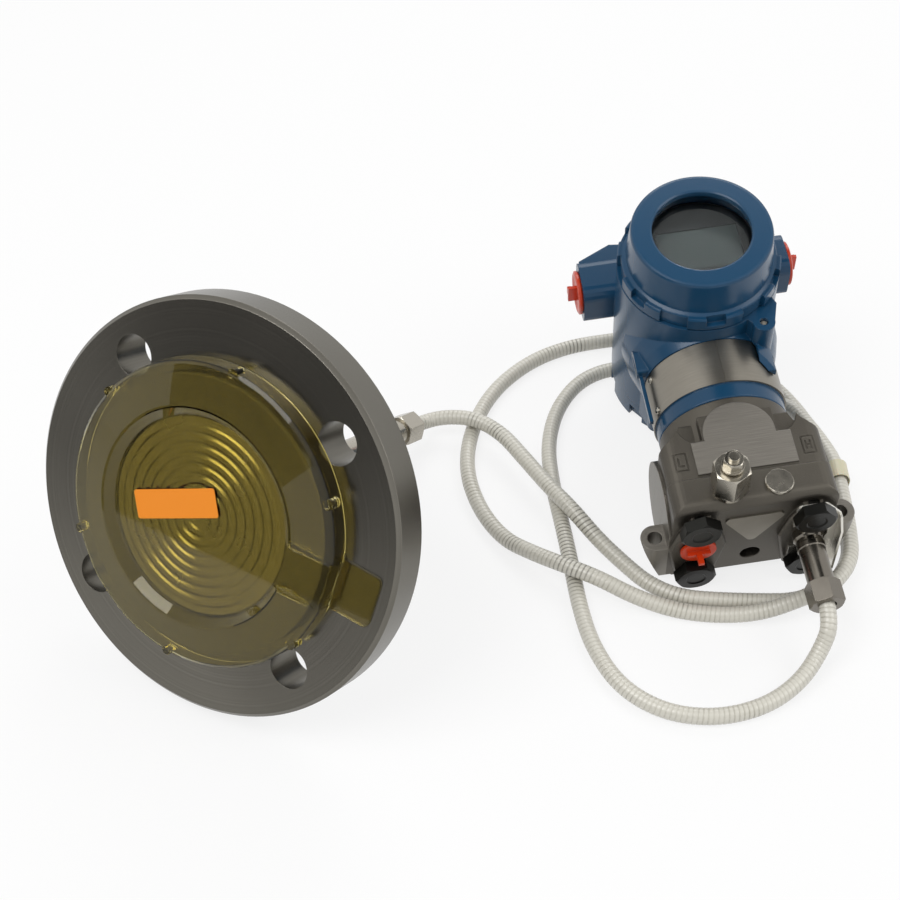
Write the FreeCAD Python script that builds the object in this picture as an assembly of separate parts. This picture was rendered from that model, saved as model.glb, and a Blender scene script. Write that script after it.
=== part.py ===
import FreeCAD, Part
import math
import os

os.makedirs("parts", exist_ok=True)
V = FreeCAD.Vector

# ---- poses of the two halves on the floor (mm, degrees) ----
tx_yaw, tx_pitch, tx_roll = 8.0, 12.29, -4.7
tx_x, tx_y = 144.3, 538.7
seal_heading, seal_lean, seal_spin = -32.1, 26.4, 46.0
seal_x, seal_y = -104.3, 498.4

# ---- diaphragm seal ----
flange_r, flange_t, flange_edge = 95.25, 20.0, 1.8
bolt_circle_r, bolt_hole_r = 76.2, 9.525
raised_r, raised_h = 63.5, 8.0
hub_r, hub_t = 38.0, 14.0
diaphragm_r, diaphragm_t, ripple_h = 44.5, 0.5, 0.6
stem_r, stem_end = 6.8, 162.0
nut_af, nut_len = 15.2, 14.4
cap_wall = 0.7
cap_side_gap, cap_draft, cap_head_gap = 5.1, 0.7, 0.9
cap_top_r = raised_r + cap_side_gap
cap_base_r = cap_top_r + cap_draft
cap_top_h = raised_h + cap_head_gap + cap_wall
cap_ridge_r, cap_ridge_h = 49.0, 13.0
cap_disc_r, cap_disc_h = 45.4, raised_h + ripple_h + 0.3 + cap_wall
tab_angle, tab_half, tab_reach, channel_half = -49.5, 12.0, 88.0, 10.5

# ---- process end of the transmitter ----
body_half, body_front, body_rear, body_corner = 39.2, -33.0, 30.0, 7.0
flange_top, ring_r, ring_top = 17.0, 32.3, 59.0
port_x, port_r = 26.5, 6.3
boss_h = 2.5
bolt_x, bolt_y, bolt_r, bolt_af, head_h = 27.0, 20.65, 5.5, 17.5, 5.6
clip_t = 1.2
nut_seat, nut_low = -30.5, 42.0
can_r, can_top = 26.0, 98.0
seat_gap = 0.3

# ---- housing ----
axis_z, shell_r, shell_front, shell_rear = 133.3, 40.5, -41.5, 39.8
thread_r, thread_play, cavity_r = 36.0, 0.08, 33.0
wall_front, wall_rear = -20.0, 18.0
neck_bottom, band_low, band_top, band_r = 59.3, 67.7, 92.8, 33.3
conduit_z, conduit_x, conduit_r = 158.5, 54.5, 10.7
lug_r, lug_base = 40.5, 38.6

# ---- capillary ----
cord_d = 8.0
cord_r = cord_d / 2


def tube(r, a, b, at=(0, 0, 0), axis=(0, 0, 1)):
    d = V(*axis)
    return Part.makeCylinder(r, b - a, V(*at) + d * a, d)


def box(x0, x1, y0, y1, z0, z1):
    return Part.makeBox(x1 - x0, y1 - y0, z1 - z0, V(x0, y0, z0))


def turned(profile, at=(0, 0, 0), axis=(0, 0, 1)):
    points = [V(r, 0, s) for r, s in profile]
    face = Part.Face(Part.makePolygon(points + [points[0]]))
    shape = face.revolve(V(0, 0, 0), V(0, 0, 1), 360)
    shape.Placement = FreeCAD.Placement(V(*at), FreeCAD.Rotation(V(0, 0, 1), V(*axis)))
    return shape


def prism(outline, lo, hi, plane="xy"):
    put = {"xy": lambda a, b: V(a, b, lo), "xz": lambda a, b: V(a, lo, b), "yz": lambda a, b: V(lo, a, b)}[plane]
    along = {"xy": V(0, 0, hi - lo), "xz": V(0, hi - lo, 0), "yz": V(hi - lo, 0, 0)}[plane]
    points = [put(a, b) for a, b in outline]
    return Part.Face(Part.makePolygon(points + [points[0]])).extrude(along)


def rounded(outline, radius, steps=4):
    out = []
    count = len(outline)
    for i in range(count):
        p, a, b = outline[i], outline[i - 1], outline[(i + 1) % count]
        da = (a[0] - p[0], a[1] - p[1])
        db = (b[0] - p[0], b[1] - p[1])
        la, lb = math.hypot(*da), math.hypot(*db)
        half = math.acos(max(-1, min(1, (da[0] * db[0] + da[1] * db[1]) / la / lb))) / 2
        cut = min(radius / math.tan(half), 0.45 * la, 0.45 * lb)
        r = cut * math.tan(half)
        pa = (p[0] + da[0] / la * cut, p[1] + da[1] / la * cut)
        pb = (p[0] + db[0] / lb * cut, p[1] + db[1] / lb * cut)
        bis = (da[0] / la + db[0] / lb, da[1] / la + db[1] / lb)
        lbis = math.hypot(*bis)
        reach = r / math.sin(half)
        c = (p[0] + bis[0] / lbis * reach, p[1] + bis[1] / lbis * reach)
        t0 = math.atan2(pa[1] - c[1], pa[0] - c[0])
        t1 = math.atan2(pb[1] - c[1], pb[0] - c[0])
        turn = (t1 - t0 + math.pi) % (2 * math.pi) - math.pi
        for k in range(steps + 1):
            t = t0 + turn * k / steps
            out.append((c[0] + r * math.cos(t), c[1] + r * math.sin(t)))
    return out


def hexagon(af, a, b, at=(0, 0, 0), axis=(0, 0, 1), turn=0.0, chamfer=0.0, both=False):
    r = af / math.sqrt(3)
    points = [(r * math.cos(math.radians(60 * k + turn)), r * math.sin(math.radians(60 * k + turn))) for k in range(6)]
    shape = prism(points, a, b)
    if chamfer:
        edge = af / 2 + 0.1
        slope = (r - edge) * 0.6 + 0.05
        profile = [(0, a), (r + 1, a), (r + 1, b - slope - (r + 1 - r) * 0.6), (edge, b), (0, b)]
        if both:
            profile[1:2] = [(edge, a), (r + 1, a + slope + 0.6)]
        shape = shape.common(turned(profile))
    shape.Placement = FreeCAD.Placement(V(*at), FreeCAD.Rotation(V(0, 0, 1), V(*axis)))
    return shape


def fused(shapes):
    out = shapes[0].multiFuse(shapes[1:]) if len(shapes) > 1 else shapes[0]
    return out.removeSplitter()


# ================= diaphragm seal, z = outward normal, front face at z 0 =================
def seal_flange():
    e = flange_edge
    body = turned([(0, raised_h), (raised_r - 0.8, raised_h), (raised_r, raised_h - 0.8), (raised_r, 0),
                   (flange_r - e, 0), (flange_r, -e), (flange_r, e - flange_t), (flange_r - e, -flange_t),
                   (hub_r, -flange_t), (hub_r, 2 - flange_t - hub_t), (hub_r - 2, -flange_t - hub_t),
                   (0, -flange_t - hub_t)])
    for k in range(4):
        t = math.radians(90 * k)
        at = (bolt_circle_r * math.cos(t), bolt_circle_r * math.sin(t), 0)
        body = body.cut(tube(bolt_hole_r, -flange_t - 1, 1, at))
    # spot for the diaphragm and serrations of the gasket face
    body = body.cut(tube(diaphragm_r + 0.3, raised_h - diaphragm_t, raised_h + 1))
    return body


def diaphragm():
    base, top = raised_h - diaphragm_t, raised_h
    low = [(0, base)]
    high = [(0, top)]
    profile = [(0, base), (diaphragm_r, base), (diaphragm_r, top)]
    r = diaphragm_r - 3.0
    while r > 6:
        profile += [(r, top), (r - 1.1, top + ripple_h), (r - 2.9, top + ripple_h), (r - 4.0, top)]
        r -= 4.6
    profile += [(0, top)]
    return turned(profile)


def diaphragm_protector():
    w = cap_wall
    shell = turned([(cap_base_r, seat_gap), (cap_top_r + 0.3, cap_top_h - 1.2), (cap_top_r - 1.2, cap_top_h),
                    (cap_ridge_r + 1.4, cap_ridge_h), (cap_ridge_r, cap_ridge_h), (cap_disc_r, cap_disc_h), (0, cap_disc_h),
                    (0, cap_disc_h - w), (cap_disc_r + 0.6, cap_disc_h - w), (cap_ridge_r + 0.6, cap_ridge_h - w),
                    (cap_ridge_r + 1.2, cap_ridge_h - w), (cap_top_r - 1.4, cap_top_h - w),
                    (cap_top_r - 0.5, cap_top_h - 1.5), (cap_base_r - w, seat_gap)])
    turn = FreeCAD.Placement(V(0, 0, 0), FreeCAD.Rotation(V(0, 0, 1), tab_angle))
    slot = box(cap_disc_r - 3, 71, -channel_half, channel_half, -1, 20)
    slot.Placement = turn
    shell = shell.cut(slot)
    c, r0, r1 = channel_half, cap_disc_r - 4.5, cap_base_r
    h = cap_disc_h
    floor_plate = box(r0, cap_top_r - 0.6, -c, c, h - w, h)
    keep = turned([(0, -1), (cap_top_r - 0.6, -1), (cap_top_r - 0.6, 30), (0, 30)])
    ring_gap = turned([(0, -1), (cap_disc_r - 3.2, -1), (cap_disc_r - 3.2, 30), (0, 30)])
    floor_plate = floor_plate.common(keep).cut(ring_gap)
    # side walls of the channel follow the ridge profile
    side = [(cap_disc_r - 1.0, h - w), (cap_disc_r, h), (cap_ridge_r, cap_ridge_h), (cap_ridge_r + 1.4, cap_ridge_h),
            (cap_top_r - 1.2, cap_top_h), (cap_top_r - 0.6, h - w)]
    walls = []
    for s in (-1, 1):
        lo, hi = (c - 0.1, c + w) if s > 0 else (-c - w, -c + 0.1)
        walls.append(prism(side, lo, hi, "xz"))
    front = box(cap_top_r - 1.4, cap_top_r - 0.6, -c - w, c + w, seat_gap + w, h)
    tab_outline = rounded([(cap_base_r - 4, -tab_half - 4), (cap_base_r, -tab_half), (tab_reach, -tab_half),
                           (tab_reach, tab_half), (cap_base_r, tab_half), (cap_base_r - 4, tab_half + 4)], 3.0)
    tab = prism(tab_outline, seat_gap, seat_gap + w).cut(tube(cap_top_r - 1.0, -1, 9))
    extra = []
    for s in walls + [floor_plate, front, tab]:
        s.Placement = turn.multiply(s.Placement)
        extra.append(s)
    nubs = []
    for k in range(6):
        t = math.radians(42 + 60 * k)
        nub = Part.makeCylinder(2.4, 5.6, V((cap_top_r - 0.4) * math.cos(t), (cap_top_r - 0.4) * math.sin(t), cap_top_h - 6.0))
        nubs.append(nub)
    body = fused([shell] + extra)
    void = tube(cap_base_r - w - 1.0, -1, cap_top_h - 1.6)
    for nub in nubs:
        body = body.fuse(nub.cut(void))
    return body.removeSplitter()


def part_label():
    sheet = prism(rounded([(-22, -6.6), (22, -6.6), (22, 6.6), (-22, 6.6)], 1.2), 0, 0.25)
    sheet.Placement = FreeCAD.Placement(V(-7.6, 9.7, cap_disc_h), FreeCAD.Rotation(V(0, 0, 1), -22.0))
    return sheet


def seal_stem():
    back = -flange_t - hub_t
    return turned([(0, back), (stem_r + 2.2, back), (stem_r + 2.2, back - 3), (stem_r, back - 5), (stem_r, 2 - stem_end),
                   (stem_r - 1, 1 - stem_end), (stem_r - 1, -stem_end), (0, -stem_end)])


def seal_nut():
    nut = hexagon(nut_af, 0, nut_len, (0, 0, -stem_end), (0, 0, -1), 12, 1.0, True)
    return nut.cut(tube(cord_r + 0.3, 0.8, nut_len + 1, (0, 0, -stem_end), (0, 0, -1)))


# ================= process end, transmitter frame =================
def boss_outline(side, grow=0.0):
    half = [(-26, 4.5), (-15, 10), (0, 14), (15, 11.5), (27, 9)]
    left = [(side * (bolt_x - 0.5 - w - grow), y + (grow if y < -20 else 0) * -1) for y, w in half]
    right = [(side * (bolt_x - 0.5 + w + grow), y + (grow if y < -20 else 0) * -1) for y, w in half]
    return left + right[::-1]


def loft_between(low, high, z_low, z_high):
    wires = [Part.makePolygon([V(x, y, z) for x, y in pts + [pts[0]]]) for pts, z in ((low, z_low), (high, z_high))]
    return Part.makeLoft(wires, True, True)


def side_pads(z_low, z_high):
    pads = tube(24, -40.3, 40.3, (0, 1.5, 22), (1, 0, 0)).cut(box(-32, 32, -40, 40, -10, 60))
    return pads.common(box(-50, 50, -40, 40, z_low, z_high))


def process_flange():
    r = body_corner
    plan = rounded([(-body_half, body_front), (body_half, body_front), (body_half, body_rear), (-body_half, body_rear)], r, 6)
    block = prism(plan, 0, flange_top)
    arc = [(body_front + 5 - 5 * math.sin(math.radians(a)), 5 - 5 * math.cos(math.radians(a))) for a in range(0, 91, 15)]
    section = arc + [(body_front, flange_top - 0.5), (body_front + 0.5, flange_top), (body_rear, flange_top), (body_rear, 2), (body_rear - 2, 0)]
    block = block.common(prism(section, -60, 60, "yz"))
    parts = [block, side_pads(0, flange_top)]
    for s in (-1, 1):
        low = boss_outline(s)
        parts.append(prism(low, -boss_h + 1.0, 4))
        parts.append(loft_between(boss_outline(s, -1.0), low, -boss_h, -boss_h + 1.0))
        ear = box(30, 45.3, 1, 27, 0, 14) if s > 0 else box(-45.3, -30, 1, 27, 0, 14)
        ear = ear.fuse(tube(7, 1, 27, (s * 45.3, 0, 7), (0, 1, 0)))
        plan = [(s * 30, 1), (s * 52.3, 1), (s * 50.8, 6), (s * 43.5, 27), (s * 30, 27)]
        parts.append(ear.common(prism(plan, -1, 15)))
    body = fused(parts)
    cuts = [tube(3.5, 0, 30, (s * 45.3, 0, 7), (0, 1, 0)) for s in (-1, 1)]
    cuts += [tube(port_r, -4, flange_top + 1, (s * port_x, 0, 0)) for s in (-1, 1)]
    cuts += [tube(bolt_r + 0.4, -4, flange_top + 1, (s * bolt_x, t * bolt_y, 0)) for s in (-1, 1) for t in (-1, 1)]
    cuts.append(tube(5, -1, 9, (0.9, 16.2, 0)))
    cuts.append(tube(1.6, 8, 13, (0.9, 16.2, 0)))
    cuts += [tube(5.3, body_front - 1, body_front + 10.5, (s * 12, 0, 8.4), (0, 1, 0)) for s in (-1, 1)]
    cuts += [tube(2.2, body_front + 10, -1, (s * 12, 0, 8.4), (0, 1, 0)) for s in (-1, 1)]
    cuts += [tube(2.2, 11.0, port_x - port_r + 1, (0, -2, 8.4), (s, 0, 0)) for s in (-1, 1)]
    groove = [(8.4, flange_top - 1.1), (10.8, flange_top - 1.1), (10.8, flange_top + 1), (8.4, flange_top + 1)]
    cuts += [turned(groove, (s * port_x, 0, 0)) for s in (-1, 1)]
    for cut in cuts:
        body = body.cut(cut)
    return body.removeSplitter()


def module_orings():
    rings = [Part.makeTorus(9.6, 0.8, V(s * port_x, 0, flange_top - 1.1 + 0.85)) for s in (-1, 1)]
    lid = box(-60, 60, -40, 40, 0, flange_top - 0.05)
    return Part.makeCompound([ring.common(lid) for ring in rings])


def sensor_module():
    half, front, rear = body_half - 0.4, body_front + 0.8, body_rear - 0.4
    plan = rounded([(-half, front), (half, front), (half, rear), (-half, rear)], body_corner, 6)
    block = prism(plan, flange_top, 50.6)
    curve = [(half, 36.8), (37.4, 37.6), (34.0, 39.6), (30.8, 42.6), (28.4, 46.4), (26.6, 50.6)]
    outline = [(half, flange_top)] + curve + [(-x, z) for x, z in curve[::-1]] + [(-half, flange_top)]
    block = block.common(prism(outline, -40, 40, "xz"))
    scoop = [(17.9, 37.9), (19.6, 36.9), (22.4, 36.8), (25.2, 38.2), (27.6, 41.4), (29.4, 46.0), (31, 60), (17.9, 60)]
    for s in (-1, 1):
        block = block.cut(prism([(s * x, z) for x, z in scoop], -40, -25.5, "xz"))
    ring = tube(ring_r, 22, ring_top)
    arch = tube(17.3, body_front, -18, (0, 0, 38.5), (0, 1, 0)).common(box(-20, 20, -40, 0, 30, 60))
    pad = box(-24, 24, body_front, -18, 18.5, 36.3)
    can = turned([(0, 50), (can_r, 50), (can_r, can_top - 6), (can_r - 4, can_top), (0, can_top)])
    body = fused([block, ring, arch, pad, side_pads(flange_top, 60), can])
    for s in (-1, 1):
        for t in (-1, 1):
            body = body.cut(tube(bolt_r + 0.4, flange_top - 1, 33.5, (s * bolt_x, t * bolt_y, 0)))
        frame = box(s * 30.5 - 3.2, s * 30.5 + 3.2, front - 1, front + 0.5, 22, 32)
        frame = frame.cut(box(s * 30.5 - 2.5, s * 30.5 + 2.5, front - 2, front + 1, 22.7, 31.3))
        body = body.cut(frame)
    # low mark on the left, high mark on the right
    lo, hi = front - 1, front + 0.45
    strokes = [box(-32.0, -31.2, lo, hi, 24.5, 29.5), box(-31.2, -29.0, lo, hi, 24.5, 25.3)]
    strokes += [box(29.0, 29.8, lo, hi, 24.5, 29.5), box(31.2, 32.0, lo, hi, 24.5, 29.5), box(29.8, 31.2, lo, hi, 26.6, 27.4)]
    for stroke in strokes:
        body = body.cut(stroke)
    return body.removeSplitter()


def flange_bolts():
    bolts = []
    for s in (-1, 1):
        for t in (-1, 1):
            seat = -boss_h - (clip_t if s > 0 else 0)
            turn = 0 if t > 0 else 10 + 25 * (s + t)
            head = hexagon(bolt_af, 0, head_h, (0, 0, 0), (0, 0, -1), turn, 1.0)
            shank = tube(bolt_r, -0.5, 36 + seat - 3.5)
            bolt = head.fuse(shank).cut(turned([(0, -head_h - 1), (5, -head_h - 1), (5, -head_h), (4.4, -head_h + 0.5), (0, -head_h + 0.5)]))
            bolt.translate(V(s * bolt_x, t * bolt_y, seat))
            bolts.append(bolt)
    return Part.makeCompound(bolts)


def port_plug():
    face = -boss_h - seat_gap
    cup = turned([(0, face), (8.7, face), (8.7, face - 1.4), (0, face - 1.4)], (-port_x, 0, 0))
    shank = tube(port_r - 0.08, face - 0.5, face + 8, (-port_x, 0, 0))
    shank = shank.cut(tube(port_r - 1.5, face + 1, face + 9, (-port_x, 0, 0)))
    tab = box(-port_x - 1.4, -port_x + 1.4, -1.0, 1.0, face - 8.5, face - 1)
    bar = box(-port_x - 5.5, -port_x + 5.5, -0.9, 0.9, face - 3.6, face - 1)
    plug = cup.fuse(shank).fuse(tab).fuse(bar)
    for t in (-1, 1):
        plug = plug.cut(tube(10.6, face - 4, face + 0.01, (-bolt_x, t * bolt_y, 0)))
    return plug.removeSplitter()


def vent_body():
    at, axis = (-12, body_front, 8.4), (0, -1, 0)
    body = turned([(0, 0), (7.6, 0), (7.6, 2.6), (6.6, 3.6), (0, 3.6)], at, axis)
    body = body.fuse(hexagon(15.9, 3.4, 20, at, axis, 30, 1.0))
    body = body.fuse(tube(5.0, -10, 1, at, axis))
    body = body.cut(turned([(0, -11), (1.8, -11), (1.8, 2), (4.4, 4), (4.4, 21), (0, 21)], at, axis))
    return body.removeSplitter()


def vent_stem():
    at, axis = (-12, body_front, 8.4), (0, -1, 0)
    stem = turned([(0, 2.4), (1.2, 2.9), (4.32, 6.5), (4.32, 20.8), (5.4, 21.2), (5.4, 22.4), (0, 22.4)], at, axis)
    stem = stem.fuse(hexagon(8.6, 22, 27.5, at, axis, 5, 1.0))
    tip = tube(2.6, 27, 29.5, at, axis)
    return stem.fuse(tip).removeSplitter()


def vent_blank():
    at, axis = (12, body_front, 8.4), (0, -1, 0)
    return turned([(0, -9.5), (5.0, -9.5), (5.0, 0), (6.8, 0), (6.8, 1.1), (6.3, 1.6), (0, 1.6)], at, axis)


def data_plate():
    corner = rounded([(-16.2, -20.6), (16.2, -20.6), (0, 4.2)], 2.6, 5)
    return prism(corner, -0.7, 0)


def clip_plate():
    z1 = -boss_h
    z0 = z1 - clip_t
    base = prism(rounded([(18.5, -27.5), (33, -27.5), (41, -16), (41, 27), (34, 31), (20, 31), (18.5, 26)], 2.5), z0, z1)
    wall = box(39.8, 41.0, -16, 27, z0 - 6.2, z1)
    trim = prism([(-18, z1), (-18, z1 - 2), (-8, z0 - 7), (40, z0 - 7), (40, -20), (-40, -20), (-40, z1)], 39, 42, "yz")
    wall = wall.cut(trim.common(box(39, 42, -18.1, -8, -20, z1)))
    plate = base.fuse(wall)
    for t in (-1, 1):
        plate = plate.cut(tube(bolt_r + 0.4, -9, 0, (bolt_x, t * bolt_y, 0)))
    plate = plate.cut(tube(9.6, -9, 0, (port_x, 0, 0)))
    plate = plate.cut(box(10, port_x, -9.6, 9.6, -9, 0))
    return plate.removeSplitter()


def capillary_adapter():
    z = -boss_h
    return turned([(0, 7), (port_r - 0.3, 7), (port_r - 0.3, z), (7.5, z), (7.5, -6.2), (6.7, -7.2), (6.45, -7.2), (6.45, -9.0),
                   (6.9, -9.4), (6.9, -12.0), (6.45, -12.4), (6.45, nut_seat), (0, nut_seat)], (port_x, 0, 0))


def adapter_nut():
    nut = hexagon(nut_af, -nut_seat, nut_low, (port_x, 0, 0), (0, 0, -1), 20, 1.0, True)
    return nut.cut(tube(cord_r + 0.3, 1 - nut_seat, nut_low + 1, (port_x, 0, 0), (0, 0, -1)))


# ================= housing =================
def along_y(profile):
    return turned(profile, (0, 0, axis_z), (0, 1, 0))


def housing():
    shell = along_y([(0, shell_front), (shell_r, shell_front), (shell_r, shell_rear), (0, shell_rear)])
    neck = turned([(0, neck_bottom), (ring_r - 0.5, neck_bottom), (ring_r, neck_bottom + 0.6), (ring_r, band_low - 0.3),
                   (band_r - 0.5, band_low - 0.3), (band_r - 0.5, band_top + 0.2), (33.8, band_top + 0.2),
                   (36.0, 99), (38.6, 108), (39.8, 120), (0, 125)])
    parts = [shell, neck]
    for s in (-1, 1):
        h = 12.6
        outline = rounded([(-h, -h), (h, -h), (h, h), (-h, h)], 6.0, 5)
        outline = [(y, conduit_z + z) for y, z in outline]
        lo, hi = (20, conduit_x) if s > 0 else (-conduit_x, -20)
        boss = prism(outline, lo, hi, "yz")
        taper = turned([(0, 10), (24, 10), (18.5, conduit_x - 1.6), (17, conduit_x), (0, conduit_x)], (0, 0, conduit_z), (s, 0, 0))
        parts.append(boss.common(taper))
    # left boss widens towards the shell on its upper side
    wing = prism([(-conduit_x + 1, conduit_z + 11), (-36, conduit_z + 19.5), (-18, conduit_z + 17), (-18, conduit_z),
                  (-conduit_x + 1, conduit_z)], -12, 12, "xz")
    parts.append(wing)
    # cover lock ear at the front, right of the neck, and its twin at the rear
    parts.append(tube(5.5, shell_front, -15, (24.4, 0, 94), (0, 1, 0)))
    parts.append(prism([(18.9, 94), (29.9, 94), (33, 104), (30, 112), (14, 100)], shell_front, -15, "xz"))
    parts.append(prism([(-38, 94), (-15, 94), (-15, 84), (-20, 76.5), (-24, 76.5)], 20.5, 28.3, "yz").common(turned([(0, 60), (36.8, 60), (36.8, 110), (0, 110)])).cut(tube(band_r + 0.7, 60, 93)))
    parts.append(tube(5.0, 18, shell_rear, (-24.4, 0, 95.5), (0, 1, 0)))
    parts.append(prism([(-19.4, 95.5), (-29.4, 95.5), (-32, 104), (-30, 112), (-14, 100)], 18, shell_rear, "xz"))
    # flank rib with a slotted top
    rib = prism(rounded([(-13.8, 93.5), (-7.2, 93.5), (-8, 106), (-11, 109), (-14.8, 105)], 1.5), -37.4, -30, "yz")
    parts.append(rib)
    parts.append(box(-36.2, -34.4, -9.8, -7.2, 66, 96))
    body = fused(parts)
    cuts = [along_y([(0, shell_front - 1), (thread_r + thread_play, shell_front - 1), (thread_r + thread_play, -30.0),
                     (cavity_r, -29.0), (cavity_r, wall_front), (0, wall_front)]),
            along_y([(0, wall_rear), (cavity_r, wall_rear), (cavity_r, 28.0), (thread_r + thread_play, 29.0),
                     (thread_r + thread_play, shell_rear + 1), (0, shell_rear + 1)]),
            turned([(0, 50), (can_r + 1.2, 50), (can_r + 1.2, can_top + 2), (0, can_top + 4)])]
    for s in (-1, 1):
        cuts.append(tube(conduit_r, 26, conduit_x + 1, (0, 0, conduit_z), (s, 0, 0)))
    # passages from both conduits to the terminal side and a wire hole through the wall
    cuts += [tube(8.0, 8, wall_rear + 2, (s * 22, 0, conduit_z - 6), (0, 1, 0)) for s in (-1, 1)]
    cuts += [tube(10.6, 18, 27, (0, 0, conduit_z), (s, 0, 0)).common(box(-60, 60, -8, 12, 140, 175)) for s in (-1, 1)]
    cuts.append(tube(5, wall_front - 1, wall_rear + 1, (0, 0, 124), (0, 1, 0)))
    cuts.append(tube(4, can_top + 1, 126))
    cuts.append(tube(2.1, shell_front - 1, -25.5, (24.4, 0, 94), (0, 1, 0)))
    cuts.append(tube(2.1, 24, shell_rear + 1, (-24.4, 0, 95.5), (0, 1, 0)))
    cuts.append(prism([(-11.7, 97.5), (-9.7, 97.5), (-10.2, 105), (-12.2, 105)], -39, -35.9, "yz"))
    # groove for the nameplate band behind the lock ears
    groove = tube(band_r + 0.8, band_low - 0.2, band_top + 0.2)
    cuts.append(groove.cut(tube(band_r - 0.5, band_low - 1, band_top + 1)))
    cuts.append(tube(1.6, can_r, ring_r + 1, (0, 0, 63.4), (0.5, 0.866, 0)))
    # screw holes of the band, all inside the neck wall
    cuts += [tube(0.95, band_r - 4.0, band_r + 1, (0, 0, z), (math.cos(a), math.sin(a), 0)) for a, z in band_pins()]
    for cut in cuts:
        body = body.cut(cut)
    return body.removeSplitter()


def band_pins():
    a, b = math.radians(-160.0), math.radians(20.0)
    return [(a, 71.0), (a, 89.5), (b, 80.2)]


def nameplate_band():
    band = turned([(band_r - 0.45, band_low), (band_r, band_low), (band_r, band_top), (band_r - 0.45, band_top)])
    lap = turned([(band_r, band_low + 0.2), (band_r + 0.35, band_low + 0.2), (band_r + 0.35, band_top - 0.2), (band_r, band_top - 0.2)])
    lap = lap.common(prism([(0, 0), (0.5, -60), (60, -60), (60, 30)], 60, 100))
    band = band.fuse(lap)
    for a, z in band_pins():
        band = band.cut(tube(0.95, band_r - 3, band_r + 2, (0, 0, z), (math.cos(a), math.sin(a), 0)))
    return band.removeSplitter()


def band_screws():
    pins = []
    for a, z in band_pins():
        axis = (math.cos(a), math.sin(a), 0)
        top = band_r + (0.35 if a > -2 else 0)
        pins.append(turned([(0, band_r - 3.6), (0.9, band_r - 3.6), (0.9, top), (1.9, top), (1.6, top + 0.8), (0, top + 1.0)], (0, 0, z), axis))
    return Part.makeCompound(pins)


def lug_cuts(shape, count, depth_r, width, y0, y1, phase):
    for k in range(count):
        t = math.radians(phase + 360.0 * k / count)
        cut = box(depth_r, depth_r + 9, y0, y1, -width / 2, width / 2)
        cut.Placement = FreeCAD.Placement(V(0, 0, axis_z), FreeCAD.Rotation(V(0, 1, 0), math.degrees(t)))
        shape = shape.cut(cut)
    return shape


def display_cover():
    gap = shell_front - seat_gap
    cover = along_y([(cavity_r, -31), (thread_r, -31), (thread_r, gap + 3.4), (34.2, gap + 3.4), (34.2, gap + 1.0),
                     (thread_r, gap + 1.0), (thread_r, gap), (lug_base, gap), (lug_base, -49.4), (lug_base - 0.6, -50.0),
                     (36.3, -50.8), (34.9, -68.2), (34.4, -69.4), (33.2, -69.8), (25.2, -69.8), (24.3, -69.2),
                     (24.3, -66.3), (29.3, -66.3), (29.3, -60), (32, -58), (32, -44), (cavity_r, -43)])
    ring = along_y([(36.5, gap), (lug_r - 0.9, gap), (lug_r, gap - 0.9), (lug_r, -49.2), (lug_r - 0.8, -50.0), (36.5, -50.0)])
    for k in range(6):
        a, b = math.radians(60 * k + 10), math.radians(60 * k + 50)
        wedge = prism([(0, axis_z), (60 * math.cos(a), axis_z + 60 * math.sin(a)),
                       (60 * math.cos(b), axis_z + 60 * math.sin(b))], -60, -40, "xz")
        cover = cover.fuse(ring.common(wedge))
    cover = lug_cuts(cover, 6, lug_base - 1.0, 9.5, -60, -45.0, 30)
    return cover.removeSplitter()


def cover_glass():
    return along_y([(0, -66.3), (29.0, -66.3), (29.0, -60.3), (0, -60.3)])


def cover_oring(at, sign):
    ring = Part.makeTorus(35.15, 0.85, V(0, at, axis_z), V(0, 1, 0))
    return ring


def display_cover_oring():
    return cover_oring(shell_front - seat_gap + 2.2, 1)


def terminal_cover_oring():
    return cover_oring(shell_rear + seat_gap - 2.2, -1)


def terminal_cover():
    gap = shell_rear + seat_gap
    cover = along_y([(cavity_r, 30), (thread_r, 30), (thread_r, gap - 3.4), (34.2, gap - 3.4), (34.2, gap - 1.0), (thread_r, gap - 1.0),
                     (thread_r, gap), (40.3, gap), (40.3, 53.2), (40.0, 53.5), (30, 53.5), (28, 54.6), (0, 54.6),
                     (0, 50.6), (28, 50.6), (cavity_r, 46)])
    cover = lug_cuts(cover, 10, 37.6, 9.0, 44.5, 60, 90 + 18)
    return cover.removeSplitter()


def electronics_board():
    board = along_y([(0, wall_front), (31, wall_front), (31, -23), (27, -23.4), (27, -28), (0, -28)])
    return board


def lcd_meter():
    meter = along_y([(0, -28), (30.5, -28), (30.5, -32), (29.5, -33), (29.5, -52.6), (28.1, -54.0), (0, -54.0)])
    window = box(-20.5, 20.5, -60, -53.0, 120.5, 145)
    ledge = box(-18.5, 18.5, -53.1, -51.4, 122.5, 143)
    return meter.cut(window).cut(ledge).removeSplitter()


def lcd_pane():
    pane = box(-18.2, 18.2, -53.0, -51.4, 122.8, 142.7)
    rim = box(-20.2, 20.2, -53.6, -53.0, 120.8, 144.7)
    return pane.fuse(rim).removeSplitter()


def terminal_block():
    block = along_y([(0, wall_rear), (31, wall_rear), (31, 24), (29, 25), (0, 25)])
    posts = [box(x - 5.5, x + 5.5, 24, 32, 118, 130) for x in (-16, 0, 16)]
    block = fused([block] + posts)
    for x in (-16, 0, 16):
        block = block.cut(tube(2.0, 24, 33, (x, 0, 124), (0, 1, 0)))
    return block


def terminal_screws():
    screws = []
    for x in (-16, 0, 16):
        screw = turned([(0, 25), (1.7, 25), (1.7, 32), (4.2, 32), (4.2, 34), (3.6, 34.6), (0, 34.6)], (x, 0, 124), (0, 1, 0))
        screws.append(screw.cut(box(x - 5, x + 5, 33.6, 36, 123.5, 124.5)))
    return Part.makeCompound(screws)


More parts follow.
